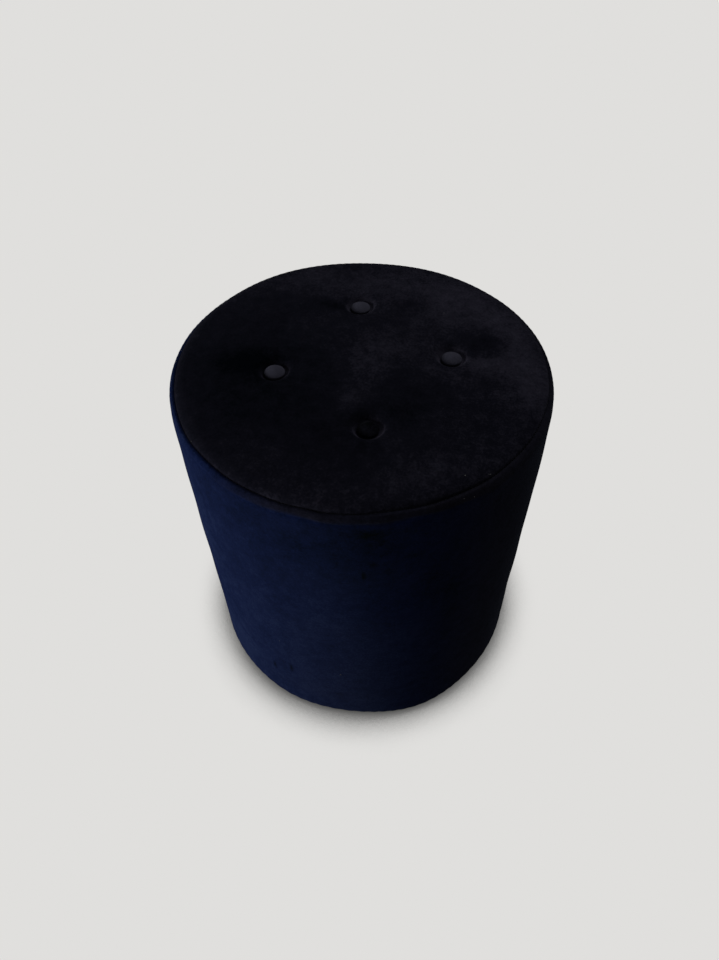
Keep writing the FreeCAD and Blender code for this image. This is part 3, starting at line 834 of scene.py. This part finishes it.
def makeButton(number):
    low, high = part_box(f"button_cover_{number}")
    edge, radius = button["edge"], button["radius"]
    rise = button["height"] - 2 * edge
    lean, _, runs = roundedRuns(radius, button["height"], rise, edge)
    runs[1] = arcRun(radius - edge, edge, edge, lean, math.pi)
    runs.append(lineRun(radius - edge, 0, button["hole"], 0))
    ends = np.cumsum([run[0] for run in runs])
    stops = stopsThrough((ends[0], 0.7 * mm), (ends[1], 0.35 * mm), (ends[2], 0.7 * mm))
    ring, phi, faces, rim = discGrid(len(stops) - 1)
    s = stops[ring]
    r, z, tilt = walk(runs, s)
    pleat = np.cos(button["pleats"] * phi + 1.5 * np.sin(3 * phi + number) + number)
    lift = -button["pleatDepth"] * (0.5 + 0.5 * pleat) * smoothStep(ends[0] - 0.5 * mm, ends[1], s)
    r = r + lift * np.sin(tilt)
    z = z + np.minimum(lift * np.cos(tilt), 0)
    middle = (low + high) / 2
    points = np.stack([middle.x + r * np.cos(phi), middle.y + r * np.sin(phi), low.z + z], axis=-1)
    piece = makePiece(f"buttonCover_{number}", points, faces, buttonVelvet)
    paint(piece, "napAndPaintedLight", np.full(len(points), button["napAndPaintedLight"][number - 1]))
    thicken(piece, button["thickness"])
    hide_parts(f"button_cover_{number}")


# padding

padding = {
    "waddingDepth": 1.95 * mm,
    "waddingThickness": 4.6 * mm,
    "waddingClear": 1 * mm,  # above the seat board
    "waddingRings": ((tuft["band"][0], 5 * mm), (tuft["band"][1], 2.4 * mm), (crownEnd, 6 * mm),
                     (cornerEnd, 2.5 * mm)),
    "recess": 1.5 * mm,  # pressed in by the seam's allowance
    "recessBand": ((-2 * mm, 2 * mm), (12 * mm, 16 * mm)),  # past the seam
    "foamDepth": 7.1 * mm,
    "foamRings": ((tuft["band"][0], 6 * mm), (tuft["band"][1], 3 * mm), (crownEnd, 6 * mm),
                  (cornerEnd, 3 * mm)),
    "foamBow": 0.4 * mm,
    "seatBottom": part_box("seat_foam")[0].z,
    "sideInner": 189.3 * mm,
    "sideOuter": 198.1 * mm,
    "sideBottom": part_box("side_foam")[0].z + 0.3 * mm,
    "sideTop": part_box("side_foam")[1].z - 0.2 * mm,
    "sideWrap": 1.5,  # radians round the base corner
    "sideUneven": 0.25 * mm,
    "sideUnevenSize": 90 * mm,
    "joint": 1.2 * mm,
    "jointHalf": 14 * mm,  # width of the finer columns on each side of it
    "jointDip": 1.3 * mm,  # the foam's ends are pressed in by the closing seam
    "jointDipWidth": 5 * mm,
}


def makeWadding(material):
    depth = padding["waddingDepth"]
    bottom = cornerEnd + cornerZ - padding["seatBottom"] - padding["waddingClear"]
    stops = stopsThrough(*padding["waddingRings"], (bottom, 6 * mm))
    ring, phi, faces, rim = discGrid(len(stops) - 1)
    s = stops[ring]
    recess = padding["recess"] * plateau(s - seamAt, *padding["recessBand"])
    points = drumPoint(s, phi, depth, fine=False)
    lean = walk(drumRuns, s)[2]
    outward = np.stack([np.cos(phi) * np.sin(lean), np.sin(phi) * np.sin(lean), np.cos(lean)], axis=-1)
    points = points - outward * recess[:, None]
    piece = makePiece("topWadding", points, faces, material)
    thicken(piece, padding["waddingThickness"])
    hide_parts("top_wadding")


def makeSeatFoam(material):
    depth = padding["foamDepth"]
    stops = stopsThrough(*padding["foamRings"])
    ring, phi, faces, rim = discGrid(len(stops) - 1)
    top = drumPoint(stops[ring], phi, depth, fine=False)
    count = len(top)
    points, bands, upper = [top], [faces], rim
    rimPhi = phi[rim]
    radius, bowSize = drum["radius"] - depth, padding["foamBow"]
    for z in np.linspace(cornerZ, padding["seatBottom"], 7)[1:]:
        bow = bowSize * np.sin(3 * rimPhi + 60 * z) - bowSize
        loop = np.stack([(radius + bow) * np.cos(rimPhi), (radius + bow) * np.sin(rimPhi),
                         np.full(len(rim), z)], axis=-1)
        points.append(loop)
        lower = np.arange(count, count + len(rim))
        bands.append(bandFaces(upper, lower))
        upper, count = lower, count + len(rim)
    ringCount = len(stops) - 1
    inner = ring < ringCount
    underIndex = np.empty(len(ring), int)
    underIndex[rim] = upper
    underIndex[inner] = np.arange(count, count + inner.sum())
    r = (radius - bowSize) * ring[inner] / ringCount
    points.append(np.stack([r * np.cos(phi[inner]), r * np.sin(phi[inner]),
                            np.full(inner.sum(), padding["seatBottom"])], axis=-1))
    bands.append(underIndex[faces][:, ::-1])
    piece = makePiece("seatFoam", np.concatenate(points), np.concatenate(bands), material)
    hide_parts("seat_foam")


def makeSideFoam(material):
    # a strip bent round the shell, butted at the back
    inner, outer = padding["sideInner"], padding["sideOuter"]
    low, high = padding["sideBottom"], padding["sideTop"]
    curve = drum["baseCorner"] - (drum["radius"] - outer)
    leans = np.linspace(0, padding["sideWrap"], 7)
    loop = [(outer, z) for z in np.linspace(high, baseZ, 26)]
    loop += [(baseR + curve * math.cos(lean), baseZ - curve * math.sin(lean)) for lean in leans[1:]]
    loop = [(max(r, inner), max(z, low)) for r, z in loop]
    loop += [(inner, z) for z in np.linspace(loop[-1][1], high, 26)[1:]]
    loop = np.array(loop)
    gap = padding["joint"] / 2 / drum["radius"]
    near = np.linspace(gap, padding["jointHalf"] / drum["radius"], 8)
    far = np.linspace(near[-1], 2 * math.pi - near[-1], 231)
    phi = sideShape["closingAt"] + np.concatenate([near[:-1], far, (2 * math.pi - near[:-1])[::-1]])
    r, around = np.meshgrid(loop[:, 0], phi, indexing="ij")
    z = np.repeat(loop[:, 1:], len(phi), axis=1)
    points = np.stack([r * np.cos(around), r * np.sin(around), z], axis=-1)
    dent = np.minimum(padding["sideUneven"] * unevenness(points, padding["sideUnevenSize"], 21), 0)
    arc = drum["radius"] * turnBetween(around, sideShape["closingAt"])
    dent = dent - padding["jointDip"] * hump(arc, padding["jointDipWidth"])
    r = r + np.where(r > (inner + outer) / 2, dent, 0)
    points = np.stack([r * np.cos(around), r * np.sin(around), z], axis=-1).reshape(-1, 3)
    index = np.arange(len(points)).reshape(r.shape)
    below = np.roll(index, -1, axis=0)
    faces = np.stack([index[:, :-1], below[:, :-1], below[:, 1:], index[:, 1:]], axis=-1)
    faces = faces.reshape(-1, 4).tolist()
    faces.append(index[:, 0].tolist()[::-1])
    faces.append(index[:, -1].tolist())
    piece = makePiece("sideFoam", points, faces, material)
    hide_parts("side_foam")


# the cloth that closes the underside

dustCover = {
    "radius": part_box("dust_cover")[1].x,
    "level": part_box("dust_cover")[0].z,
    "thickness": 0.5 * mm,
    "sag": 0.8 * mm,
    "sagEnd": (130 * mm, 166 * mm),
    "stapleCount": 18,
    "scallop": 0.25 * mm,  # between the staples
    "scallopBand": ((90 * mm, 160 * mm), (165 * mm, 171 * mm)),
    "crease": 0.18 * mm,
    "creaseSize": 50 * mm,
    "glideHold": (13 * mm, 40 * mm),  # from a glide's middle: held flat, free
    "most": 0.3 * mm,  # that it rises anywhere
}


def makeDustCover(material):
    stops = stopsThrough((0.12, 4 * mm), (dustCover["radius"], 2 * mm))
    ring, phi, faces, rim = discGrid(len(stops) - 1)
    r = stops[ring]
    x, y = r * np.cos(phi), r * np.sin(phi)
    slack = 1 - smoothStep(*dustCover["sagEnd"], r)
    wave = dustCover["scallop"] * np.cos(dustCover["stapleCount"] * phi)
    wave = wave * plateau(r, *dustCover["scallopBand"])
    for k in (1, 2, 3, 4):
        glideLow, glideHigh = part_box(f"glide_{k}")
        middle = (glideLow + glideHigh) / 2
        away = np.hypot(x - middle.x, y - middle.y)
        free = smoothStep(*dustCover["glideHold"], away)
        slack, wave = slack * free, wave * free
    points = np.stack([x, y, np.zeros_like(x)], axis=-1)
    crease = dustCover["crease"] * unevenness(points, dustCover["creaseSize"], 31)
    sag = slack * (dustCover["sag"] - crease)
    points[:, 2] = dustCover["level"] - np.maximum(sag - wave, -dustCover["most"])
    piece = makePiece("dustCover", points, faces[:, ::-1], material)
    thicken(piece, dustCover["thickness"])
    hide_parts("dust_cover")


# lint caught in the pile: metres along the outline, angle, length in mm, turn in degrees

lint = (
    (182.5, -59.5, 1.6, 50),
    (201.0, -62.8, 1.2, 10),
    (203.5, -59.8, 1.5, 80),
    (192.5, -53.0, 3.0, 35),
    (194.0, -146.5, 1.3, 120),
    (499.5, -98.2, 2.0, 20),
    (460.0, -119.5, 1.2, 70),
    (599.0, -72.6, 1.4, 0),
    (120.0, 40.0, 1.1, 15),
    (340.0, 35.0, 1.6, 60),
    (430.0, 150.0, 1.5, 110),
)
lintRise = 0.1 * mm  # above the pile


def makeLint(material):
    parts = []
    for along, angle, length, turn in lint:
        s, phi = along * mm, math.radians(angle)
        turn = math.radians(turn)
        half = length * mm / 2
        r, _, lean = walk(drumRuns, s)
        out = np.array([math.cos(phi) * math.sin(lean), math.sin(phi) * math.sin(lean), math.cos(lean)])
        stepS, stepPhi = half * math.sin(turn), half * math.cos(turn) / r
        ends = [drumPoint(np.array([s + way * stepS]), np.array([phi + way * stepPhi]))[0] + out * lintRise
                for way in (-1, 1)]
        parts.append(stitchMesh(ends[0], ends[1], out))
    points, faces = joinParts(parts)
    makePiece("lintSpecks", points, faces, material)


# materials of what is inside and underneath

def cloudy(name, slot, scale, spread, roughness, bumpHeight=0.0, stretch=None, metallic=0.0, specular=0.4,
           gain=1.0):
    # a finish that varies a little in tone, with a fine relief
    material, tree, shader = newMaterial(name, roughness, metallic, specular)
    place = objectPlace(tree)
    value = noise(tree, place, scale, 5, 0.6, stretch)
    colour = shade(slotColours[slot], gain)
    stops = ((0.3, shade(colour, 1 - spread)), (0.7, shade(colour, 1 + spread)))
    tree.links.new(ramp(tree, value, stops), shader.inputs["Base Color"])
    if bumpHeight:
        bump(tree, shader, noise(tree, place, scale * 3, 3, 0.6, stretch), bumpHeight)
    return material


def plywood():
    ply = 3.2 * mm
    material, tree, shader = newMaterial("birchPlywood", 0.7, specular=0.3)
    place = objectPlace(tree)
    grain = noise(tree, place, 22, 6, 0.65, (1, 9, 1))
    colour = slotColours["plywood"]
    face = ramp(tree, grain, ((0.3, shade(colour, 0.78)), (0.55, colour), (0.8, shade(colour, 1.15))))
    parts = addNode(tree, "SeparateXYZ", {0: place})
    plies = addNode(tree, "Math", {0: parts.outputs["Z"], 1: ply}, operation="PINGPONG").outputs[0]
    plies = multiplyAdd(tree, plies, 1 / ply, 0.0)
    edge = ramp(tree, plies, ((0.42, shade(colour, 0.62)), (0.5, shade(colour, 1.05))))
    normal = addNode(tree, "SeparateXYZ", {0: addNode(tree, "NewGeometry").outputs["True Normal"]})
    upright = addNode(tree, "Math", {0: normal.outputs["Z"]}, operation="ABSOLUTE").outputs[0]
    flat = addNode(tree, "Math", {0: upright, 1: 0.5}, operation="GREATER_THAN").outputs[0]
    mix = addNode(tree, "Mix", {0: flat, 6: edge, 7: face}, data_type="RGBA")
    tree.links.new(mix.outputs[2], shader.inputs["Base Color"])
    bump(tree, shader, grain, 0.15 * mm)
    return material


def softwood():
    material, tree, shader = newMaterial("planedSoftwood", 0.65, specular=0.3)
    place = objectPlace(tree)
    rings = addNode(tree, "TexWave", {"Vector": place, "Scale": 55.0, "Distortion": 5.0, "Detail": 3.0,
                                      "Detail Scale": 0.6}, wave_type="BANDS", bands_direction="DIAGONAL")
    fibre = noise(tree, place, 60, 4, 0.6, (1, 1, 0.05))
    tone = addNode(tree, "Math", {0: rings.outputs["Fac"], 1: fibre}, operation="MULTIPLY").outputs[0]
    colour = slotColours["timber"]
    stops = ((0.1, shade(colour, 1.12)), (0.45, colour), (0.8, (0.5, 0.3, 0.15)))
    tree.links.new(ramp(tree, tone, stops), shader.inputs["Base Color"])
    bump(tree, shader, fibre, 0.1 * mm)
    return material


def dustCloth():
    material, tree, shader = newMaterial("dustCloth", 0.9, specular=0.2)
    place = objectPlace(tree)
    cells = {"Vector": place, "Scale": 450.0, "Randomness": 0.25}
    cells = addNode(tree, "TexVoronoi", cells).outputs["Distance"]
    colour = slotColours["dust_cloth"]
    stops = ((0.1, shade(colour, 0.5)), (0.5, shade(colour, 1.6)))
    tree.links.new(ramp(tree, cells, stops), shader.inputs["Base Color"])
    bump(tree, shader, cells, 0.2 * mm)
    return material


def twinePly():
    material, tree, shader = newMaterial("waxedTwine", 0.45, specular=0.5)
    place = objectPlace(tree)
    twist = addNode(tree, "TexWave", {"Vector": place, "Scale": 420.0, "Distortion": 0.5},
                    wave_type="BANDS", bands_direction="DIAGONAL").outputs["Fac"]
    colour = slotColours["twine"]
    stops = ((0.2, shade(colour, 0.6)), (0.7, shade(colour, 1.1)))
    tree.links.new(ramp(tree, twist, stops), shader.inputs["Base Color"])
    bump(tree, shader, twist, 0.15 * mm)
    return material


def dress(material, *names):
    for name in names:
        slots = nodes[name].data.materials
        slots.clear()
        slots.append(material)


def dressFrame():
    dress(plywood(), "seat_board", "base_board")
    timber = softwood()
    dress(timber, *[f"post_{k}" for k in range(1, 7)], *[f"twine_toggle_{k}" for k in range(1, 5)])
    dress(cloudy("hardboard", "hardboard", 260, 0.25, 0.75, 0.08 * mm), "drum_shell")
    dress(cloudy("zincScrew", "screw_steel", 300, 0.2, 0.35, 0.02 * mm, metallic=1.0),
          "seat_screws", "base_screws", "glide_nails")
    dress(cloudy("galvanisedWire", "staple_steel", 500, 0.25, 0.4, 0.02 * mm, metallic=1.0),
          "shell_staples", "hem_staples", "dust_cover_staples")
    dress(cloudy("pressedAluminium", "button_metal", 400, 0.15, 0.35, 0.02 * mm, metallic=1.0),
          *[f"button_{part}_{k}" for part in ("shell", "back") for k in range(1, 5)])
    dress(twinePly(), *[f"button_twine_{k}" for k in range(1, 5)])
    dress(cloudy("glidePlastic", "glide_plastic", 350, 0.3, 0.55, 0.03 * mm),
          *[f"glide_{k}" for k in range(1, 5)])


# studio

studio = {
    "backdrop": (0.745, 0.738, 0.723),
    "floorHalf": 6.0,
    "floorAlbedo": 0.45,
    "fill": (0.1, 0.1, 0.105),
    "shadowReach": 0.088,
    # how open the floor is to the sky near the drum, and its tone there
    "shadow": ((0.2, 0.03), (0.56, 0.26), (0.63, 0.58), (0.71, 0.84), (0.79, 0.97), (0.86, 1.0)),
    "lampsAimAt": (0, 0, 0.22),
    "lamps": {  # place, size, power in watts
        "keyLamp": ((-1.9, -0.55, 0.5), 1.0, 38),
        "topLamp": ((0.9, 1.1, 1.9), 1.2, 14),
    },
}


def seenDirectly(tree):
    # 1 for rays that should find the plain backdrop
    path = addNode(tree, "LightPath").outputs
    found = path["Is Camera Ray"]
    for ray in ("Is Glossy Ray", "Is Transmission Ray"):
        found = addNode(tree, "Math", {0: found, 1: path[ray]}, operation="MAXIMUM").outputs[0]
    return found


def makeFloor():
    half = studio["floorHalf"]
    corners = [(-half, -half, 0), (half, -half, 0), (half, half, 0), (-half, half, 0)]
    mesh = bpy.data.meshes.new("floor")
    mesh.from_pydata(corners, [], [(0, 1, 2, 3)])
    floor = bpy.data.objects.new("floor", mesh)
    bpy.context.scene.collection.objects.link(floor)
    material = bpy.data.materials.new("paleFloor")
    material.use_nodes = True
    tree = material.node_tree
    tree.nodes.clear()
    openness = addNode(tree, "AmbientOcclusion", {"Distance": studio["shadowReach"]}, samples=16).outputs["AO"]
    stops = [(place, shade(studio["backdrop"], gain)) for place, gain in studio["shadow"]]
    glow = addNode(tree, "Emission", {"Color": ramp(tree, openness, stops), "Strength": 1.0})
    plain = addNode(tree, "BsdfDiffuse", {"Color": (*[studio["floorAlbedo"]] * 3, 1)})
    mix = addNode(tree, "MixShader", {0: seenDirectly(tree), 1: plain.outputs[0], 2: glow.outputs[0]})
    out = addNode(tree, "OutputMaterial")
    tree.links.new(mix.outputs[0], out.inputs["Surface"])
    mesh.materials.append(material)


def makeWorld():
    world = bpy.data.worlds.new("studio")
    bpy.context.scene.world = world
    world.use_nodes = True
    tree = world.node_tree
    tree.nodes.clear()
    backdrop = addNode(tree, "Background", {"Color": (*studio["backdrop"], 1)})
    fill = addNode(tree, "Background", {"Color": (*studio["fill"], 1)})
    mix = addNode(tree, "MixShader", {0: seenDirectly(tree), 1: fill.outputs[0], 2: backdrop.outputs[0]})
    out = addNode(tree, "OutputWorld")
    tree.links.new(mix.outputs[0], out.inputs["Surface"])


def makeLamps():
    target = Vector(studio["lampsAimAt"])
    for name, (place, size, power) in studio["lamps"].items():
        data = bpy.data.lights.new(name, "AREA")
        data.size = size
        data.energy = power
        lamp = bpy.data.objects.new(name, data)
        lamp.location = place
        lamp.rotation_euler = (target - Vector(place)).to_track_quat("-Z", "Y").to_euler()
        lamp.visible_camera = False
        bpy.context.scene.collection.objects.link(lamp)


# making it all

makeTopCover()
print("top cover made")
makeSideCover()
print("side cover made")
threadMaterial = cloudy("sewingThread", "sewing_thread", 900, 0.4, 0.9, 0.05 * mm, specular=0.05, gain=0.35)
makeStitches(threadMaterial)
makeClosingStitches(threadMaterial)
for number in (1, 2, 3, 4):
    makeButton(number)
print("stitches and buttons made")
makeWadding(cloudy("wadding", "wadding", 400, 0.08, 0.95, 0.4 * mm, specular=0.1))
foamMaterial = cloudy("openCellFoam", "foam", 900, 0.1, 0.9, 0.3 * mm, specular=0.1)
makeSeatFoam(foamMaterial)
makeSideFoam(foamMaterial)
makeDustCover(dustCloth())
makeLint(cloudy("paleLint", "wadding", 600, 0.15, 0.9, specular=0.1, gain=0.12))
print("padding, dust cover and lint made")
dressFrame()
makeFloor()
makeWorld()
makeLamps()
bpy.context.scene.view_settings.view_transform = "Standard"
print("materials and studio made")
